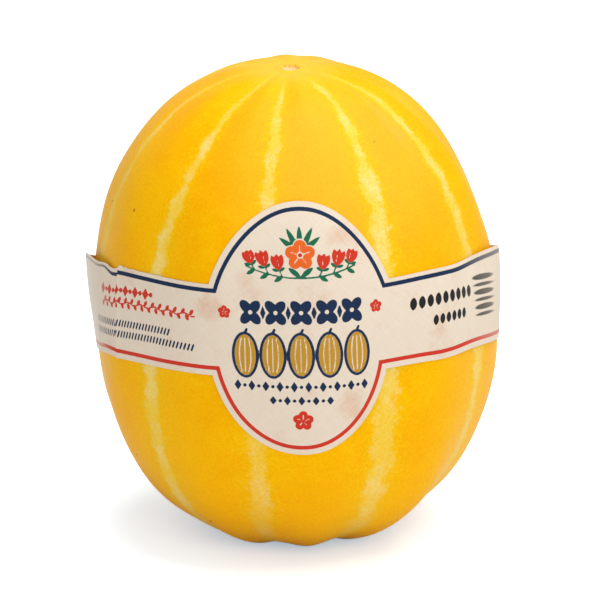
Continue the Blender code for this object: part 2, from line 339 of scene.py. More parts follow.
def wave_along(seed, rise):
    """A slow wave of about -1 to 1 along one seam."""
    draw = np.random.default_rng(seed)
    total = np.zeros(np.shape(rise))
    for _ in range(STRIPE_WAVES):
        total += np.sin(draw.uniform(*STRIPE_FREQUENCIES) * rise + draw.uniform(0.0, 2.0 * np.pi))
    return total / STRIPE_WAVES


# ---- meshes


def new_object(name, points, faces, values=None, flat=None):
    """A mesh object, with float values at its points and a UV layer if they are given."""
    mesh = bpy.data.meshes.new(name)
    mesh.from_pydata(points, [], faces)
    for key, array in (values or {}).items():
        layer = mesh.attributes.new(key, "FLOAT", "POINT")
        layer.data.foreach_set("value", np.asarray(array, np.float32))
    if flat is not None:
        corners = np.empty(len(mesh.loops), np.int32)
        mesh.loops.foreach_get("vertex_index", corners)
        layer = mesh.uv_layers.new(name="flat")
        layer.data.foreach_set("uv", np.asarray(flat, np.float32)[corners].ravel())
    outward = bmesh.new()
    outward.from_mesh(mesh)
    bmesh.ops.recalc_face_normals(outward, faces=outward.faces)
    outward.to_mesh(mesh)
    outward.free()
    mesh.shade_smooth()
    made = bpy.data.objects.new(name, mesh)
    bpy.context.scene.collection.objects.link(made)
    return made


def melon_stations():
    """(radius, rise) of each ring of the skin, from the stem end to the blossom end."""
    radii = [END_RADIUS * (step + 1) / END_RINGS for step in range(END_RINGS)]
    stations = [(radius, body_rise(radius, True)) for radius in radii]
    first = math.asin((END_RADIUS / WAIST_RADIUS) ** (STEM_POWER / 2.0))
    last = math.pi - math.asin((END_RADIUS / WAIST_RADIUS) ** (BLOSSOM_POWER / 2.0))
    for step in range(1, SIDE_RINGS):
        polar = first + (last - first) * step / SIDE_RINGS
        upper = polar < math.pi / 2.0
        radius = WAIST_RADIUS * math.sin(polar) ** (2.0 / (STEM_POWER if upper else BLOSSOM_POWER))
        stations.append((radius, body_rise(radius, upper)))
    stations += [(radius, body_rise(radius, False)) for radius in reversed(radii)]
    return np.array(stations)


def ring_faces(start, rings, columns):
    """Faces between closed rings of points, numbered from start."""
    faces = []
    for ring in range(rings - 1):
        here, below = start + ring * columns, start + (ring + 1) * columns
        for column in range(columns):
            after = (column + 1) % columns
            faces.append((here + column, below + column, below + after, here + after))
    return faces


def fan_faces(tip, start, columns):
    """Faces between one point and the closed ring that is numbered from start."""
    return [(tip, start + column, start + (column + 1) % columns) for column in range(columns)]


def stripe_values(seam, gap, rise):
    """How far each point lies from its seam, in half widths of the stripe, and the stripe's strength."""
    wobble, swelling = np.zeros_like(gap), np.zeros_like(gap)
    for index in range(len(SEAMS)):
        wobble += (seam == index) * wave_along(WOBBLE_SEED + index, rise)
        swelling += (seam == index) * wave_along(SWELLING_SEED + index, rise)
    above, below, width = (SEAMS[seam, column] for column in (7, 8, 9))
    half = np.interp(rise, STRIPE_RISES, STRIPE_HALF_WIDTHS) * width * (1.0 + STRIPE_SWELL * swelling)
    shown = np.interp(rise, STRIPE_RISES, STRIPE_SHOWN)
    strength = shown * (below + (above - below) * blend(*STRIPE_TURN, rise))
    return np.abs(gap - STRIPE_WOBBLE * wobble) / half, strength


def make_melon():
    stations = melon_stations()
    columns = len(SEAMS) * LOBE_COLUMNS
    lobe, step = np.divmod(np.arange(columns)[None, :], LOBE_COLUMNS)
    share = step / LOBE_COLUMNS
    radius, rise = stations[:, 0:1], stations[:, 1:2]
    start, end = seam_angle(lobe, rise), seam_angle(lobe + 1, rise)
    angle = start + share * (end - start)
    height = relief(lobe, share, radius, rise) + slow_swell(angle, rise) * blend(*SWELL_RADII, radius)
    points = skin_points(radius, rise, angle, height).reshape(-1, 3).tolist()
    points += [skin_points(0.0, tip, 0.0, 0.0).tolist() for tip in (STEM_RISE, -BLOSSOM_DROP)]

    seam = np.broadcast_to(np.where(share < 0.5, lobe, lobe + 1) % len(SEAMS), angle.shape)
    gap = np.where(share < 0.5, share, share - 1.0) * np.radians(end - start) * radius
    stripe, strength = stripe_values(seam, gap, rise)
    from_stem = np.broadcast_to(np.where(rise > 0, radius, FAR), angle.shape)
    from_blossom = np.broadcast_to(np.where(rise < 0, radius, FAR), angle.shape)
    values = {
        "stripe": np.append(stripe, (NO_STRIPE, NO_STRIPE)),
        "stripe_strength": np.append(strength, (0.0, 0.0)),
        "stem_mm": np.append(from_stem, (0.0, FAR)) / MM,
        "blossom_mm": np.append(from_blossom, (FAR, 0.0)) / MM,
    }
    rings = len(stations)
    faces = ring_faces(0, rings, columns) + fan_faces(rings * columns, 0, columns)
    faces += fan_faces(rings * columns + 1, (rings - 1) * columns, columns)
    return new_object("melon_rind", points, faces, values)


# ---- the label's shape


def from_front(angle):
    """How many degrees an angle is from the front, 0 to 180."""
    return np.abs((angle + 180.0) % 360.0 - 180.0)


def strip_middle(angle):
    """The rise of the strip's middle line."""
    drop = STRIP_DROP * blend(*DROP_ANGLES, from_front(angle))
    return STRIP_RISE - drop + STRIP_ROLL * np.sin(np.radians(angle))


def medallion_reach(angle, half):
    """How far this half of the medallion reaches from its middle at this angle, 0 beside it."""
    middle, width, height = half
    across = np.abs(np.radians(angle - middle)) * WAIST_RADIUS / width
    inside = np.maximum(0.0, 1.0 - across**MEDALLION_POWER)
    return height * inside ** (1.0 / MEDALLION_POWER)


def shoulder_angle(side, top):
    """The angle where the medallion's outline leaves the strip's edge, at one of its four corners."""
    sign, half = (1.0, UPPER_HALF) if top else (-1.0, LOWER_HALF)
    near, far = 0.0, math.degrees(half[1] / WAIST_RADIUS)
    for _ in range(50):
        middle = (near + far) / 2.0
        angle = half[0] + side * middle
        edge = upper_edge(angle) if top else lower_edge(angle)
        outline = MEDALLION_RISE + sign * medallion_reach(angle, half)
        if sign * (outline - edge) > 0:
            near = middle
        else:
            far = middle
    return half[0] + side * near


def label_columns():
    """The sheet's column angles, from its lower end round the front to its upper end, and its corners."""
    corners = [shoulder_angle(side, top) for side in (-1.0, 1.0) for top in (False, True)]
    half = math.degrees(max(UPPER_HALF[1], LOWER_HALF[1]) / WAIST_RADIUS)
    angles = [
        MEDALLION_ANGLE + half * math.sin(MEDALLION_SPREAD * (2.0 * step / MEDALLION_COLUMNS - 1.0))
        for step in range(MEDALLION_COLUMNS + 1)
    ]
    starts = (angles[0], angles[-1])
    ends = (LAP_ANGLE - 360.0 - LAP_HALF, LAP_ANGLE + LAP_HALF)
    for side, angle, end in zip((-1.0, 1.0), starts, ends):
        for limit, step in COLUMN_STEPS:
            while abs(angle) < min(limit, abs(end)) - step:
                angle += side * step
                angles.append(angle)
        angles.append(end)
    angles += [PLEAT_ANGLE - PLEAT_HALF_WIDTH, PLEAT_ANGLE + PLEAT_HALF_WIDTH]
    for corner in corners:
        angles = [angle for angle in angles if abs(angle - corner) > CORNER_CLEARANCE]
    return np.array(sorted(angles + corners)), corners


def flare_at(angle):
    """How far the upper edge stands off the skin at this angle."""
    beside = from_front(angle)
    side = np.where(np.sin(np.radians(angle)) < 0, LEFT_FLARE, RIGHT_FLARE)
    flare = side * blend(*FLARE_ANGLES, beside)
    return flare + (BACK_FLARE - side) * blend(*FLARE_END_ANGLES, beside)


def waves(angle, places):
    """The height of these waves of an edge: place, height and span of each."""
    return sum(height * np.exp(-(((angle - place) / span) ** 2)) for place, height, span in places)


def sag_at(angle):
    """How much lower the upper edge is, beside the medallion."""
    beside = from_front(angle)
    left, right = (sag * (1.0 - blend(start, end, beside)) for sag, start, end in (LEFT_SAG, RIGHT_SAG))
    return left + (right - left) * blend(-SAG_TURN, SAG_TURN, angle)


def upper_edge(angle, torn=TORN_EDGE):
    """The strip's upper edge, with a peak at each side and a dip behind it."""
    rise = strip_middle(angle) + STRIP_HEIGHT / 2.0 - sag_at(angle)
    rise = rise + waves(angle, (LEFT_PEAK, RIGHT_PEAK, *FOLDED_EDGE, *torn))
    return rise - DIP * np.exp(-(((from_front(angle) - DIP_ANGLE) / DIP_SPAN) ** 2))


def lower_edge(angle):
    return strip_middle(angle) - STRIP_HEIGHT / 2.0 + waves(angle, LOWER_WAVES)


def lobe_at(angle, rise):
    """The lobe that holds each angle, and the share of the way across it."""
    lobe = np.full(np.shape(angle), -2 * len(SEAMS))
    for index in range(-2 * len(SEAMS) + 1, 3 * len(SEAMS)):
        lobe = np.where(seam_angle(index, rise) <= angle, index, lobe)
    start, end = seam_angle(lobe, rise), seam_angle(lobe + 1, rise)
    return lobe, (angle - start) / (end - start)


def paper_creases(angle, rise):
    """Small creases across the paper, of about -1 to 1."""
    draw = np.random.default_rng(CREASE_SEED)
    total = np.zeros(np.shape(angle))
    arc = np.radians(angle) * WAIST_RADIUS
    for _ in range(CREASES):
        tilt, place, width, reach, middle = (draw.uniform(*limits) for limits in CREASE_RANGES)
        across = arc * math.cos(tilt) + rise * math.sin(tilt)
        along = -arc * math.sin(tilt) + rise * math.cos(tilt)
        ridge = np.exp(-(((across - place) / width) ** 2)) * np.exp(-(((along - middle) / reach) ** 2))
        total += draw.uniform(-1.0, 1.0) * ridge
    return total


def stand_off_at(angle, rise, moved, height_share):
    """How far the paper's inner face lies outside the smooth body, where its rise moved to this."""
    lobe, share = lobe_at(angle, moved)
    bump = relief(lobe, share, body_radius(moved), moved)
    skin = np.where(bump > 0, bump, PAPER_FOLLOWS * bump) + np.maximum(0.0, slow_swell(angle, moved))
    stand_off = skin + PAPER_GAP + flare_at(angle) * np.clip(height_share, 0.0, 1.0) ** FLARE_POWER
    beside = angle - PLEAT_ANGLE
    stand_off += PLEAT_LIFT * (beside >= 0) * (1.0 - blend(0.0, PLEAT_LIFT_SPAN, beside))
    crease = paper_creases(angle, rise)
    stand_off += CREASE_HEIGHT * (1.0 + crease)
    stand_off += LOOSE_CREASE_HEIGHT * np.maximum(0.0, crease) * blend(*LOOSE_ANGLES, from_front(angle))
    lap_start = LAP_ANGLE - LAP_HALF
    return stand_off + (PAPER_THICKNESS + LAP_GAP) * blend(lap_start - LAP_CLIMB, lap_start, angle)


def sheet_points(angle, rise, height_share, outside):
    """Points of the paper's inner face, or of its outer one where outside is 1."""
    behind = PLEAT_ANGLE - angle
    tucked = (behind > 0) * (1.0 - blend(0.0, PLEAT_STEP_SPAN, behind))
    moved = rise - PLEAT_STEP * tucked * np.clip(height_share, 0.0, 1.0)
    stand_off = stand_off_at(angle, rise, moved, height_share) + PAPER_THICKNESS * outside
    radius = body_radius(moved)
    outward, upward = body_normal(radius, moved)
    reach = radius + stand_off * outward
    turn = np.radians(angle)
    x, y = lean_at(moved) + reach * np.sin(turn), -reach * np.cos(turn)
    return np.stack((x, y, WAIST_HEIGHT + moved + stand_off * upward), axis=-1)


def row_grid(columns, corners):
    """The rise of every row of every column, and the first and last row that each column has.

    Rows 0 to STRIP_ROWS are the strip's, CAP_ROWS more on each side the medallion's two caps.
    """
    low_left, top_left, low_right, top_right = corners
    lower, upper = lower_edge(columns)[:, None], upper_edge(columns)[:, None]
    lowest = MEDALLION_RISE - medallion_reach(columns, LOWER_HALF)[:, None]
    highest = MEDALLION_RISE + medallion_reach(columns, UPPER_HALF)[:, None]
    rise = lower + (upper - lower) * np.clip(ROWS / STRIP_ROWS, 0.0, 1.0)
    rise = rise + (lowest - lower) * np.clip(-ROWS / CAP_ROWS, 0.0, 1.0)
    rise = rise + (highest - upper) * np.clip((ROWS - STRIP_ROWS) / CAP_ROWS, 0.0, 1.0)
    has_low = (columns > low_left + TINY) & (columns < low_right - TINY)
    has_top = (columns > top_left + TINY) & (columns < top_right - TINY)
    first = np.where(has_low, -CAP_ROWS, 0)
    last = np.where(has_top, STRIP_ROWS + CAP_ROWS, STRIP_ROWS)
    return rise, first, last


def side_faces(ids, first, last, step):
    """Faces of one side of the sheet, between neighbouring columns."""
    faces = []
    for column in range(len(first) - 1):
        after = column + 1
        low, high = max(first[column], first[after]), min(last[column], last[after])
        for row in range(low, high, step):
            above = row + step
            faces.append((ids(column, row), ids(after, row), ids(after, above), ids(column, above)))
        for short, tall, turn in ((column, after, 1), (after, column, -1)):
            for row in (*range(first[tall], first[short], step), *range(last[short], last[tall], step)):
                anchor = first[short] if row < first[short] else last[short]
                faces.append((ids(short, anchor), ids(tall, row), ids(tall, row + step))[::turn])
    return faces


def rim_faces(first, last, outer, inner):
    """Faces between the two sides of the sheet, along its edges and at its two ends."""
    faces = []
    for column in range(len(first) - 1):
        after = column + 1
        for edge in (first, last):
            here, there = int(edge[column]), int(edge[after])
            faces.append((outer(column, here), outer(after, there), inner(after, there), inner(column, here)))
    for column in (0, len(first) - 1):
        for row in range(0, STRIP_ROWS, INNER_STEP):
            side = [outer(column, row + k) for k in range(INNER_STEP + 1)]
            faces.append((*side, inner(column, row + INNER_STEP), inner(column, row)))
    return faces


def numbering(present, start):
    """A function that gives the number of each point that is present, from its column and row."""
    index = np.cumsum(present.ravel()).reshape(present.shape) - 1 + start
    return lambda column, row: int(index[column, row + CAP_ROWS])


def make_label():
    columns, corners = label_columns()
    rise, first, last = row_grid(columns, corners)
    angle = np.repeat(columns[:, None], len(ROWS), axis=1)
    share = (rise - (strip_middle(angle) - STRIP_HEIGHT / 2.0)) / STRIP_HEIGHT
    outside = (ROWS >= first[:, None]) & (ROWS <= last[:, None])
    inside = outside & (ROWS % INNER_STEP == 0)
    outer_points = sheet_points(angle, rise, share, 1.0)[outside]
    inner_points = sheet_points(angle, rise, share, 0.0)[inside]
    outer, inner = numbering(outside, 0), numbering(inside, len(outer_points))
    faces = side_faces(outer, first, last, 1) + side_faces(inner, first, last, INNER_STEP)
    faces += rim_faces(first, last, outer, inner)

    angles = np.concatenate((angle[outside], angle[inside]))
    rises = np.concatenate((rise[outside], rise[inside]))
    values, flat = print_label(angles, rises)
    values["printed"] = np.concatenate((np.ones(len(outer_points)), np.zeros(len(inner_points))))
    points = np.concatenate((outer_points, inner_points)).tolist()
    made = new_object("label_paper", points, faces, values, flat)
    made.data.set_sharp_from_angle(angle=RIM_ANGLE)
    return made


# ---- the label's print


def meridian(rise):
    """The arc length along the smooth body from the medallion's level, in mm."""
    levels = np.linspace(-0.050, 0.058, 4001)
    radii = body_radius(levels)
    arc = np.concatenate(([0.0], np.cumsum(np.hypot(np.diff(levels), np.diff(radii)))))
    arc -= np.interp(MEDALLION_RISE, levels, arc)
    return np.interp(rise, levels, arc) / MM


# Each shape below gives how far inside it the points x, y lie. (cx, cy) is its middle.


def disc(x, y, cx, cy, radius):
    return radius - np.hypot(x - cx, y - cy)


def oval(x, y, cx, cy, half_width, half_height, tilt=0.0):
    c, s = math.cos(tilt), math.sin(tilt)
    u, v = ((x - cx) * c + (y - cy) * s) / half_width, (-(x - cx) * s + (y - cy) * c) / half_height
    return (1.0 - np.hypot(u, v)) * min(half_width, half_height)


def stroke(x, y, x0, y0, x1, y1, radius):
    dx, dy = x1 - x0, y1 - y0
    share = np.clip(((x - x0) * dx + (y - y0) * dy) / (dx * dx + dy * dy), 0.0, 1.0)
    return radius - np.hypot(x - x0 - share * dx, y - y0 - share * dy)


def lozenge(x, y, cx, cy, half_width, half_height):
    u, v = np.abs(x - cx) / half_width, np.abs(y - cy) / half_height
    return (1.0 - u - v) * half_width * half_height / math.hypot(half_width, half_height)


def leaf(x, y, x0, y0, tilt, length, width):
    """A pointed leaf from its foot (x0, y0), leaning at tilt degrees from +x."""
    c, s = math.cos(math.radians(tilt)), math.sin(math.radians(tilt))
    along = (x - x0) * c + (y - y0) * s - length / 2.0
    aside = np.abs(-(x - x0) * s + (y - y0) * c)
    bulge = (length * length / 4.0 - width * width / 4.0) / width
    return math.hypot(length / 2.0, bulge) - np.hypot(along, aside + bulge)


def rays(count, start):
    """The cosine and sine of this many even directions, the first at start degrees."""
    turns = [math.radians(start + 360.0 * ray / count) for ray in range(count)]
    return [(math.cos(turn), math.sin(turn)) for turn in turns]


def petals(x, y, cx, cy, size):
    """Five round petals about a middle."""
    shape = disc(x, y, cx, cy, 0.45 * size)
    for c, s in rays(5, 90.0):
        shape = np.maximum(shape, disc(x, y, cx + 0.58 * size * c, cy + 0.58 * size * s, 0.42 * size))
    return shape


def stamens(x, y, cx, cy, start, end, width):
    """Five short rays about a middle."""
    lines = [(cx + start * c, cy + start * s, cx + end * c, cy + end * s) for c, s in rays(5, 90.0)]
    return np.max([stroke(x, y, *line, width / 2.0) for line in lines], axis=0)


class Print:
    """Draws at the places x, y of the paper. Every ink is how far inside its shapes a place lies, in mm."""

    def __init__(self, x, y, ink):
        self.x, self.y, self.ink = x, y, ink

    def depth(self, shape, numbers):
        """The depth inside a shape with these numbers. Without numbers, shape is the depth itself."""
        return shape(self.x, self.y, *numbers) if numbers else shape

    def add(self, name, shape, *numbers):
        self.ink[name] = np.maximum(self.ink[name], self.depth(shape, numbers))

    def cut(self, name, shape, *numbers):
        self.ink[name] = np.minimum(self.ink[name], -self.depth(shape, numbers))


def outline_depth(angle, rise):
    """How far inside the medallion's outline each point lies, in mm on the flat paper."""
    above = rise > MEDALLION_RISE
    middle, a, b = (np.where(above, upper, lower) for upper, lower in zip(UPPER_HALF, LOWER_HALF))
    power = MEDALLION_POWER
    u = np.abs(np.radians(angle - middle)) * WAIST_RADIUS / a
    v = np.abs(rise - MEDALLION_RISE) / b
    size = np.maximum((u**power + v**power) ** (1.0 / power), 1e-6)
    radius = body_radius(rise)
    steep = body_normal(radius, rise)[0]
    slope_u = (u / size) ** (power - 1.0) / a * WAIST_RADIUS / radius
    slope_v = (v / size) ** (power - 1.0) / b * steep
    return (1.0 - size) / np.hypot(slope_u, slope_v) / MM


def print_edge_lines(sheet, angle, rise):
    """A navy line inside the upper edge and a red one inside the lower, with square corners."""
    medallion = outline_depth(angle, rise)
    tucked = (angle < PLEAT_ANGLE) * blend(*TUCKED_REACH, angle)
    near = blend(PLEAT_ANGLE - TUCKED_SPAN, PLEAT_ANGLE, angle)
    margin, thin = (far + (close - far) * near for far, close in (TUCKED_MARGIN, TUCKED_LINE))
    margin = UPPER_MARGIN + (margin - UPPER_MARGIN) * tucked
    upper = (upper_edge(angle, ()) - rise) / MM + MARGIN - margin
    upper_line = LINE_WIDTH + (thin - LINE_WIDTH) * tucked
    lower = (rise - lower_edge(angle)) / MM
    for name, strip, width in (("navy", upper, upper_line), ("red", lower, LINE_WIDTH)):
        depth = np.maximum(medallion, strip)
        sheet.add(name, width / 2.0 - np.abs(depth - MARGIN - width / 2.0))


def print_tulip(sheet, side, foot, height, lean):
    """A red tulip of the spray on its green stalk, from the foot out to this side."""
    head = (foot[0] + 0.8 * side, foot[1] + 0.42 * height)
    sheet.add("green", stroke, *foot, *head, 0.17)
    for part in (-1.0, 0.0, 1.0):
        sheet.add("red", leaf, *head, lean + TULIP_SPREAD * part, height, 1.55)
    crease = (head[0], head[1] + 1.0, head[0] + 0.25 * side, head[1] + 0.62 * height)
    sheet.cut("red", stroke, *crease, 0.09)
    for part in (-1.0, 1.0):
        sheet.add("green", leaf, head[0], head[1] - 0.25, lean + SEPAL_SPREAD * part, 1.7, 0.75)
    sheet.add("green", leaf, *foot, -90.0 + 62.0 * side, 2.3, 0.95)


def print_spray(sheet):
    """The medallion's upper part: red tulips along a green stem, and an orange blossom among leaves."""
    x, y = sheet.x, sheet.y
    middle, low, bend, reach = 0.4, 12.4, 0.016, 12.6  # of the stem
    stem = 0.20 - np.abs(y - low - bend * (x - middle) ** 2)
    sheet.add("green", np.minimum(stem, reach - np.abs(x - middle)))
    for side in (-1.0, 1.0):
        for place, (away, height) in enumerate(((4.1, 3.7), (7.3, 3.9), (10.4, 3.2))):
            foot = (middle + side * away, low + bend * away**2)
            print_tulip(sheet, side, foot, height, 90.0 - side * (8.0 + 6.0 * place))
    blossom = (middle, 17.6)
    for tilt, length in ((90.0, 6.4), (63.0, 6.6), (117.0, 6.6), (38.0, 6.0), (142.0, 6.0)):
        sheet.add("green", leaf, middle, 18.0, tilt, length, 1.25)
    sheet.cut("green", petals, *blossom, 3.75)
    sheet.add("orange", petals, *blossom, 3.45)
    sheet.cut("orange", stamens, *blossom, 0.9, 2.3, 0.26)
    sheet.cut("orange", disc, *blossom, 0.75)
    sheet.add("red", disc, *blossom, 0.5)
    for side in (-1.0, 1.0):
        sheet.add("green", leaf, middle, low + 0.2, 90.0 - 52.0 * side, 3.6, 1.2)


def print_quatrefoil(sheet, cx, cy):
    """Four slanted navy petals round a pale dot."""
    for c, s in rays(4, 45.0):
        px, py = 1.42 * c, 1.75 * s
        sheet.add("navy", oval, cx + px, cy + py, 1.70, 1.15, math.atan2(py, px))
    sheet.cut("navy", disc, cx, cy, 0.50)


def print_melon(sheet, cx, cy):
    """A gold melon with pale ribs, a navy outline and a navy stalk."""
    x, y = sheet.x, sheet.y
    inside = oval(x, y, cx, cy, 2.45, 4.75)
    sheet.add("navy", oval, cx, cy, 3.12, 5.42)
    sheet.add("navy", stroke, cx, cy + 5.0, cx + 0.5, cy + 6.0, 0.3)
    sheet.add("gold", inside)
    bow = np.sqrt(np.maximum(0.0, 1.0 - ((y - cy) / 4.9) ** 2))
    for rib in (-1.3, 0.0, 1.3):
        line = np.minimum(0.15 - np.abs(x - cx - rib * bow), 4.0 - np.abs(y - cy))
        sheet.cut("gold", np.minimum(line, inside))
    sheet.cut("navy", inside)


def print_chain(sheet, name, level, first, step, count, sizes):
    """Lozenges and dots in turn along one level. The sizes are the dot's and the lozenge's halves."""
    dot, half_width, half_height = sizes
    for place in range(count):
        cx = first + step * place
        if place % 2:
            sheet.add(name, disc, cx, level, dot)
        else:
            sheet.add(name, lozenge, cx, level, half_width, half_height)


def print_rows(sheet):
    """The medallion's middle: navy quatrefoils, gold melons, and two chains of navy lozenges."""
    for place in range(5):
        cx, cy = -11.5 + 5.8 * place, 4.6 + 0.10 * (place - 2)
        print_quatrefoil(sheet, cx, cy)
        if place < 4:
            sheet.add("navy", lozenge, cx + 2.9, cy, 0.62, 1.7)
    for place in range(5):
        print_melon(sheet, -13.0 + 6.4 * place, -5.3 + 0.12 * (place - 2))
    middle, step = -0.3, 1.62
    for level, count, half_height in ((-12.7, 19, 1.3), (-16.0, 9, 1.1)):
        first = middle - step * (count - 1) / 2.0
        print_chain(sheet, "navy", level, first, step, count, (0.42, 0.82, half_height))


def print_blossoms(sheet):
    """Three small red blossoms: one at each side of the medallion, and one at its foot."""
    for cx, cy, size in ((-17.5, 4.1, 1.5), (17.6, 5.1, 1.5), (0.0, -20.8, 2.4)):
        sheet.add("red", petals, cx, cy, size)
        sheet.cut("red", stamens, cx, cy, 0.2 * size, 0.56 * size, 0.10 * size)


def print_left_strip(sheet):
    """Beside the medallion on its -X side: a red chain, a red vine and two slanted navy rows."""
    x, y = sheet.x, sheet.y
    print_chain(sheet, "red", 5.5, -56.6, 1.78, 12, (0.58, 1.05, 1.45))
    level, middle, reach = 2.6, -40.2, 16.8  # of the vine
    vine = 0.17 - 0.9 * np.abs(y - level - 0.3 * np.sin(2.0 * math.pi * x / 4.6))
    sheet.add("red", np.minimum(vine, reach - np.abs(x - middle)))
    for place in range(28):
        tilt = 55.0 if place % 2 else -55.0
        sheet.add("red", leaf, -56.8 + 1.18 * place, level, tilt, 1.65, 0.95)
    for level, first, count in ((-2.3, -61.5, 30), (-4.9, -62.0, 37)):
        for place in range(count):
            cx = first + 1.05 * place
            sheet.add("navy", stroke, cx - 0.26, level - 0.66, cx + 0.26, level + 0.66, 0.25)


def print_right_strip(sheet):
    """Beside the medallion on its +X side: two rows of dark seeds and a stack of bars."""
    for level, first, count, size in ((2.75, 29.0, 9, 1.0), (-1.9, 35.0, 6, 0.85)):
        for place in range(count):
            foot = (first + 2.45 * size * place, level - 1.4 * size)
            sheet.add("black", leaf, *foot, 78.0, 3.0 * size, 1.9 * size)
    for row in range(6):
        half_height = 0.42 + 0.26 * (row % 2)
        sheet.add("black", oval, 56.2, -3.4 + 1.75 * row, 4.9, half_height)


def print_back(sheet):
    """Blossoms and lozenges in turn along the rest of the strip."""
    for side in (-1.0, 1.0):
        for place in range(8):
            cx = side * (79.5 + 9.2 * place)
            if place % 2:
                sheet.add("navy", lozenge, cx, 0.0, 1.5, 2.3)
            else:
                sheet.add("red", petals, cx, 0.0, 2.8)
                sheet.cut("red", disc, cx, 0.0, 0.75)


def print_label(angle, rise):
    """Each ink's distances, the print's fading, the paper's stains, a painted sheen band, and a flat place
    for its fibres.
    """
    x, y = np.radians(angle - MEDALLION_ANGLE) * body_radius(rise) / MM, meridian(rise)
    around, up = np.radians(angle) * WAIST_RADIUS / MM, (rise - strip_middle(angle)) / MM
    ink = {name: np.full(len(angle), UNPRINTED) for name in INKS}
    medallion, strip = Print(x, y, ink), Print(around, up, ink)
    for part in (print_spray, print_rows, print_blossoms):
        part(medallion)
    for part in (print_left_strip, print_right_strip, print_back):
        part(strip)
    print_edge_lines(strip, angle, rise)

    beside = from_front(angle)
    fade = np.where(angle < 0, blend(*FADE_LEFT, beside), FADE_RIGHT_SHARE * blend(*FADE_RIGHT, beside))
    stained = np.zeros(len(angle))
    for cx, cy, radius, strength in STAINS:
        stained += strength * np.exp(-((x - cx) ** 2 + (y - cy) ** 2) / radius**2)
    start, middle, end = PAINTED_SHEEN_BAND
    values = {"ink_" + name: depth for name, depth in ink.items()}
    values["faded"] = fade * (1.0 - blend(*FADE_END, beside))
    values["stained"] = stained
    # painted sheen: a pale band at the -X side, in place of the paper's grazing sheen
    values["painted_sheen"] = blend(start, middle, -angle) * (1.0 - blend(middle, end, -angle))
    return values, np.stack((around, y), axis=-1) * MM


# ---- materials


class Look:
    """Adds and links the nodes of one material."""

    def __init__(self, name):
        self.material = bpy.data.materials.new(name)
        self.material.use_nodes = True
        self.tree = self.material.node_tree

    def put(self, socket, value):
        if isinstance(value, bpy.types.NodeSocket):
            self.tree.links.new(value, socket)
        elif socket.type == "RGBA":
            socket.default_value = (*value, 1.0)
        else:
            socket.default_value = value

    def node(self, kind, inputs, **settings):
        made = self.tree.nodes.new(kind)
        for name, value in settings.items():
            setattr(made, name, value)
        for key, value in inputs.items():
            self.put(made.inputs[key], value)
        return made

    def finish(self, **inputs):
        """Sets the shader's inputs, with _ for a space in their names, and gives the material."""
        for name, value in inputs.items():
            self.put(self.tree.nodes["Principled BSDF"].inputs[name.replace("_", " ")], value)
        return self.material

    def attribute(self, name):
        return self.node("ShaderNodeAttribute", {}, attribute_name=name).outputs["Fac"]

    def place(self):
        return self.node("ShaderNodeTexCoord", {}).outputs["Object"]

    def math(self, operation, first, second):
        return self.node("ShaderNodeMath", {0: first, 1: second}, operation=operation).outputs[0]

    def plus(self, first, second):
        return self.math("ADD", first, second)

    def times(self, first, second):
        return self.math("MULTIPLY", first, second)

    def centred(self, value, amount):
        """value less its usual middle of 0.5, times amount."""
        return self.times(self.math("SUBTRACT", value, 0.5), amount)

    def smooth(self, value, start, full):
        """0 at start, 1 at full and a smooth change between them."""
        inputs = {"Value": value, "From Min": start, "From Max": full}
        return self.node("ShaderNodeMapRange", inputs, interpolation_type="SMOOTHSTEP").outputs["Result"]

    def mix(self, share, first, second):
        return self.node("ShaderNodeMix", {0: share, 6: first, 7: second}, data_type="RGBA").outputs[2]

    def cover(self, colour, above, pattern, start, full, amount):
        """colour, with this amount of another one above it where the pattern is full."""
        return self.mix(self.times(self.smooth(pattern, start, full), amount), colour, above)

    def noise(self, place, size, detail, roughness):
        """Noise of about 0 to 1, with features of about this size in the units of place."""
        inputs = {"Vector": place, "Scale": 1.0 / size, "Detail": detail, "Roughness": roughness}
        return self.node("ShaderNodeTexNoise", inputs).outputs["Fac"]

    def away(self, place, angle, rise):
        """How far place is from the skin at this angle and this rise in mm."""
        inputs = {0: place, 1: tuple(skin_at(angle, rise * MM))}
        return self.node("ShaderNodeVectorMath", inputs, operation="DISTANCE").outputs["Value"]

    def turned(self, place, angle, scale):
        """place turned about Z by this many radians, then stretched."""
        inputs = {"Vector": place, "Rotation": (0.0, 0.0, angle), "Scale": scale}
        return self.node("ShaderNodeMapping", inputs, vector_type="TEXTURE").outputs["Vector"]

    def bump(self, height, distance, strength):
        inputs = {"Height": height, "Distance": distance, "Strength": strength}
        return self.node("ShaderNodeBump", inputs).outputs[0]


SKIN_DEEP = (0.88, 0.400, 0.0)
SKIN_GOLD = (0.90, 0.455, 0.0)
SKIN_LEMON = (0.90, 0.53, 0.004)
SKIN_SHADE = (0.83, 0.365, 0.0)
# Painted sheen: a paler, bluer skin colour that stands in for the right lamp's highlight on the upper +X
# front
SKIN_PAINTED_SHEEN = (0.90, 0.42, 0.050)
# A paler colour: round the stem it is a painted sheen in place of the overhead lamp's highlight, at the
# blossom end it is the skin's own blush
BLUSH_AND_SHEEN = (0.93, 0.49, 0.055)
STRIPE_FRINGE = (0.80, 0.52, 0.0)
STRIPE_PALE = (0.82, 0.60, 0.090)
STRIPE_CREAM = (0.82, 0.67, 0.240)
SCAR_PEACH = (0.854993, 0.514918, 0.242281)
SCAR_BROWN = (0.304987, 0.107023, 0.025187)
SPECK_BROWN = (0.304987, 0.097587, 0.006995)

# Layers of the skin's colour: where their pattern starts, where it is full, and how much of them shows
LEMON_PATCHES = (0.45, 0.70, 0.30)
LEMON_GRAIN = (0.50, 0.64, 0.32)
SHADED_GRAIN = (0.50, 0.36, 0.60)
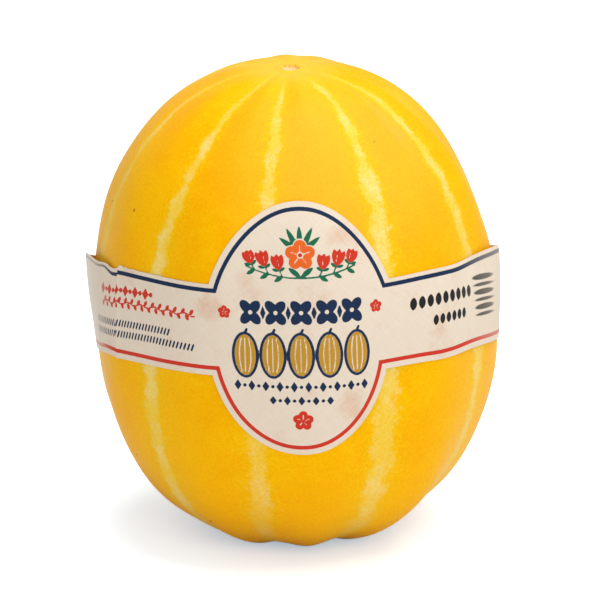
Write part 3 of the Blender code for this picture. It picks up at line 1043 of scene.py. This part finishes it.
# Painted sheen on the upper +X front, in place of the right lamp's highlight: its layer, then its middle's
# angle and rise in mm
PAINTED_SHEEN_LAYER = (0.034, 0.010, 0.42)
PAINTED_SHEEN_AT = (20.0, 43.0)  # angle, and rise in mm
# Painted sheen round the stem, standing in for the overhead lamp's highlight at the top
STEM_PAINTED_SHEEN = (16.0, 3.0, 0.70)
END_BLUSH = (7.0, 2.0, 0.60)

# Where the lemon flecks, the fringe and the core of a stripe start and are full, in half widths
LEMON_REACH = (4.2, 0.6)
LEMON_FLECKS = 0.80
FRINGE_REACH = (2.0, 0.9)
FRINGE_SHARE = 0.45
CORE_REACH = (1.15, 0.40)
RAGGED = 2.0  # how far noise moves its edge
GRAINY = (0.48, 0.52)  # the share of a stripe that always shows, and the share that the grain hides

SPECK_SHARE = 0.80
SPECKS = (  # angle, rise and radius in mm of the small brown specks
    (-58.2, 29.9, 0.40),
    (-78.3, 28.4, 0.34),
    (-35.0, -42.7, 0.50),
    (38.0, 47.0, 0.22),
    (118.0, 31.0, 0.36),
    (165.0, -26.0, 0.42),
    (214.0, 22.0, 0.32),
    (250.0, -33.0, 0.38),
    (298.0, -30.0, 0.30),
)
SCAR_WEAR = 1.6  # how ragged the scars' rings are, in mm
BARK_SHARE = 0.75


def skin_at(angle, rise):
    """The point of the skin at this angle and rise."""
    angle, rise = np.array(angle), np.array(rise)
    radius = body_radius(rise)
    lobe, share = lobe_at(angle, rise)
    return skin_points(radius, rise, angle, relief(lobe, share, radius, rise) + slow_swell(angle, rise))


def skin_ground(look, place, patches, grain, stem):
    """The skin's orange, with lemon patches and grain, and painted sheen: a paler patch on the upper +X front
    and paler skin round the stem.
    """
    colour = look.mix(look.smooth(look.noise(place, 0.022, 2.0, 0.5), 0.35, 0.65), SKIN_DEEP, SKIN_GOLD)
    colour = look.cover(colour, SKIN_LEMON, patches, *LEMON_PATCHES)
    colour = look.cover(colour, SKIN_LEMON, grain, *LEMON_GRAIN)
    colour = look.cover(colour, SKIN_SHADE, grain, *SHADED_GRAIN)
    # painted sheen: paler skin on the upper +X front where the right lamp's highlight falls
    colour = look.cover(colour, SKIN_PAINTED_SHEEN, look.away(place, *PAINTED_SHEEN_AT), *PAINTED_SHEEN_LAYER)
    # painted sheen: paler skin round the stem, in place of the highlight at the top
    return look.cover(colour, BLUSH_AND_SHEEN, stem, *STEM_PAINTED_SHEEN)


def skin_stripes(look, colour, place, grain):
    """The ragged cream stripes, with lemon flecks and a darker fringe beside them."""
    stripe, strength = look.attribute("stripe"), look.attribute("stripe_strength")
    flecks = look.smooth(look.noise(place, 0.0007, 2.0, 0.7), 0.50, 0.62)
    speckle = look.times(flecks, look.smooth(stripe, *LEMON_REACH))
    colour = look.mix(look.times(speckle, LEMON_FLECKS), colour, SKIN_LEMON)
    edge = look.plus(look.noise(place, 0.0009, 3.0, 0.75), look.noise(place, 0.0042, 2.0, 0.5))
    ragged = look.plus(stripe, look.times(look.math("SUBTRACT", edge, 1.0), RAGGED))
    fringe = look.times(look.smooth(ragged, *FRINGE_REACH), strength)
    colour = look.mix(look.times(fringe, FRINGE_SHARE), colour, STRIPE_FRINGE)
    core = look.times(look.smooth(ragged, *CORE_REACH), strength)
    always, hidden = GRAINY
    grainy = look.plus(always, look.times(look.smooth(grain, 0.38, 0.58), hidden))
    cream = look.smooth(look.noise(place, 0.006, 2.0, 0.5), 0.4, 0.65)
    return look.mix(look.times(core, grainy), colour, look.mix(cream, STRIPE_PALE, STRIPE_CREAM))


def skin_specks(look, colour, place, grain):
    """The small brown specks, with grainy edges."""
    for angle, rise, radius in SPECKS:
        away = look.plus(look.away(place, angle, rise), look.centred(grain, radius * MM))
        reach = (1.2 * radius * MM, 0.6 * radius * MM)
        colour = look.cover(colour, SPECK_BROWN, away, *reach, SPECK_SHARE)
    return colour


def skin_scars(look, colour, place, stem):
    """The stem end's peach scar in its broken corky ring, and the blossom end's in its brown one."""
    worn = look.centred(look.noise(place, 0.0009, 3.0, 0.7), SCAR_WEAR)
    ring = look.plus(stem, worn)
    bark = look.times(look.smooth(look.noise(place, 0.0012, 3.0, 0.6), 0.42, 0.62), BARK_SHARE)
    colour = look.mix(look.times(look.smooth(ring, 2.8, 1.9), bark), colour, SCAR_BROWN)
    colour = look.mix(look.smooth(ring, 2.2, 1.3), colour, SCAR_PEACH)
    ring = look.plus(look.attribute("blossom_mm"), worn)
    colour = look.cover(colour, BLUSH_AND_SHEEN, ring, *END_BLUSH)
    colour = look.mix(look.smooth(ring, 3.4, 2.2), colour, SCAR_BROWN)
    return look.mix(look.smooth(ring, 1.8, 0.8), colour, SCAR_PEACH)


def skin_material():
    look = Look("melon_skin")
    place, stem = look.place(), look.attribute("stem_mm")
    patches, grain = look.noise(place, 0.0035, 4.0, 0.6), look.noise(place, 0.0005, 2.0, 0.7)
    colour = skin_ground(look, place, patches, grain, stem)
    colour = skin_stripes(look, colour, place, grain)
    colour = skin_specks(look, colour, place, grain)
    height = look.plus(look.times(look.noise(place, 0.0007, 3.0, 0.6), 0.5), look.times(patches, 0.8))
    return look.finish(
        Base_Color=skin_scars(look, colour, place, stem),
        Roughness=look.plus(0.36, look.times(look.smooth(patches, 0.3, 0.7), 0.10)),
        IOR=1.32,
        Specular_IOR_Level=0.14,
        Specular_Tint=(1.0, 0.85, 0.20),
        Normal=look.bump(height, 0.00010, 0.6),
    )


PAPER_LIGHT = (0.715, 0.607, 0.485)
PAPER_WARM = (0.665, 0.470, 0.340)
# Painted sheen: near-white paper at the -X side that stands in for the paper's grazing sheen there
PAPER_PAINTED_SHEEN = (0.88, 0.86, 0.83)
PAINTED_SHEEN_SHARE = 0.42
FIBRE_PALE = (0.80, 0.72, 0.60)
FIBRE_SHARE = (0.85, 1.25, 0.26)  # where they start and are full, and how much of them shows
FIBRE_ANGLES = (0.75, -0.85)  # radians on the flat paper
FIBRE_SCALE = (1.0, 9.0, 1.0)
STAIN_SHARE = 0.35
WEAR_SHARE = 0.62  # how much of a faded ink is gone
INK_EDGE = 0.06  # how soft an ink's edge is, in mm
FADED_EDGE = 0.22  # how much softer it is where the ink faded


def paper_material():
    look = Look("label_paper_look")
    flat = look.node("ShaderNodeUVMap", {}, uv_map="flat").outputs["UV"]
    place = look.place()
    fibres = [look.noise(look.turned(flat, angle, FIBRE_SCALE), 0.0005, 3.0, 0.6) for angle in FIBRE_ANGLES]
    weave = look.plus(*fibres)
    stained = look.times(look.attribute("stained"), STAIN_SHARE)
    blotch = look.plus(look.noise(place, 0.006, 4.0, 0.6), stained)
    colour = look.mix(look.smooth(blotch, 0.54, 0.94), PAPER_LIGHT, PAPER_WARM)
    # painted sheen: the -X band made paler
    colour = look.mix(look.times(look.attribute("painted_sheen"), PAINTED_SHEEN_SHARE), colour, PAPER_PAINTED_SHEEN)
    colour = look.cover(colour, FIBRE_PALE, weave, *FIBRE_SHARE)
    ragged = look.centred(look.noise(place, 0.0004, 2.0, 0.5), 0.10)
    printed, faded = look.attribute("printed"), look.attribute("faded")
    spread = look.plus(INK_EDGE, look.times(faded, FADED_EDGE))
    narrow = look.times(spread, -1.0)
    wear = look.math("SUBTRACT", 1.0, look.times(faded, WEAR_SHARE))
    for name, ink in INKS.items():
        inside = look.smooth(look.plus(look.attribute("ink_" + name), ragged), narrow, spread)
        colour = look.mix(look.times(look.times(inside, printed), wear), colour, ink)
    return look.finish(
        Base_Color=colour,
        Roughness=0.60,
        Specular_IOR_Level=0.20,
        Normal=look.bump(weave, 0.00006, 0.5),
    )


# ---- the studio

FLOOR_SIDES = 96
FLOOR_RINGS = (0.3, 1.0, 4.0)
FLOOR_PALE = (0.80, 0.80, 0.80)
FLOOR_SEEN = (0.97, 0.97, 0.97)
FLOOR_LIFT = (0.30, 0.415, 0.500)
SKY = 0.55
LIGHTS = (  # name, place, diameter and watts
    ("overhead", (0.17, 0.10, 1.45), 1.0, 13.2),
    ("front", (0.34, -1.17, 0.60), 0.9, 4.4),
    ("right", (0.60, -0.34, 1.32), 0.7, 4.2),
    ("right_rim", (0.78, 0.95, 0.72), 0.34, 1.3),
)
AIM = Vector((0.00151, 0.0, 0.05444))  # where the camera and the lights point
CAMERA_RISE = math.radians(17.0)
CAMERA_DISTANCE = 1.0575
CAMERA_LENS = 270.0
CAMERA_SENSOR = 36.0
CAMERA_END = 50.0


def floor_material():
    """A pale floor, seen a little brighter than the light it throws back, so that its shade stays thin."""
    look = Look("studio_floor")
    seen = look.node("ShaderNodeLightPath", {}).outputs["Is Camera Ray"]
    colour = look.mix(seen, FLOOR_PALE, FLOOR_SEEN)
    return look.finish(Base_Color=colour, Roughness=0.9, Emission_Color=FLOOR_LIFT, Emission_Strength=seen)


def make_floor():
    """A wide disc of rings, with small faces under the melon."""
    points = [(0.0, 0.0, 0.0)]
    for radius in FLOOR_RINGS:
        points += [(radius * c, radius * s, 0.0) for c, s in rays(FLOOR_SIDES, 0.0)]
    faces = fan_faces(0, 1, FLOOR_SIDES) + ring_faces(1, len(FLOOR_RINGS), FLOOR_SIDES)
    floor = new_object("studio_floor", points, faces)
    floor.data.materials.append(floor_material())


def add_pointed(name, data, place, ahead):
    """An object for a light or a camera, at this place and looking ahead."""
    made = bpy.data.objects.new(name, data)
    made.location = place
    made.rotation_mode = "QUATERNION"
    made.rotation_quaternion = ahead.to_track_quat("-Z", "Y")
    bpy.context.scene.collection.objects.link(made)
    return made


def make_studio():
    make_floor()
    for name, place, size, energy in LIGHTS:
        light = bpy.data.lights.new(name, "AREA")
        light.shape = "DISK"
        light.size = size
        light.energy = energy
        add_pointed(name, light, place, AIM - Vector(place))
    world = bpy.data.worlds.new("studio")
    world.use_nodes = True
    sky = world.node_tree.nodes["Background"]
    sky.inputs["Color"].default_value = (1.0, 1.0, 1.0, 1.0)
    sky.inputs["Strength"].default_value = SKY
    bpy.context.scene.world = world
    bpy.context.scene.view_settings.view_transform = "Standard"


def make_camera():
    data = bpy.data.cameras.new("camera")
    data.lens = CAMERA_LENS
    data.sensor_width = CAMERA_SENSOR
    data.clip_end = CAMERA_END
    back = Vector((0.0, -math.cos(CAMERA_RISE), math.sin(CAMERA_RISE)))
    bpy.context.scene.camera = add_pointed("camera", data, AIM + back * CAMERA_DISTANCE, -back)


def main():
    melon = make_melon()
    melon.data.materials.append(skin_material())
    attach(melon, "root")
    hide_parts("melon")
    label = make_label()
    label.data.materials.append(paper_material())
    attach(label, "root")
    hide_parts("label_band")
    make_studio()
    make_camera()


main()
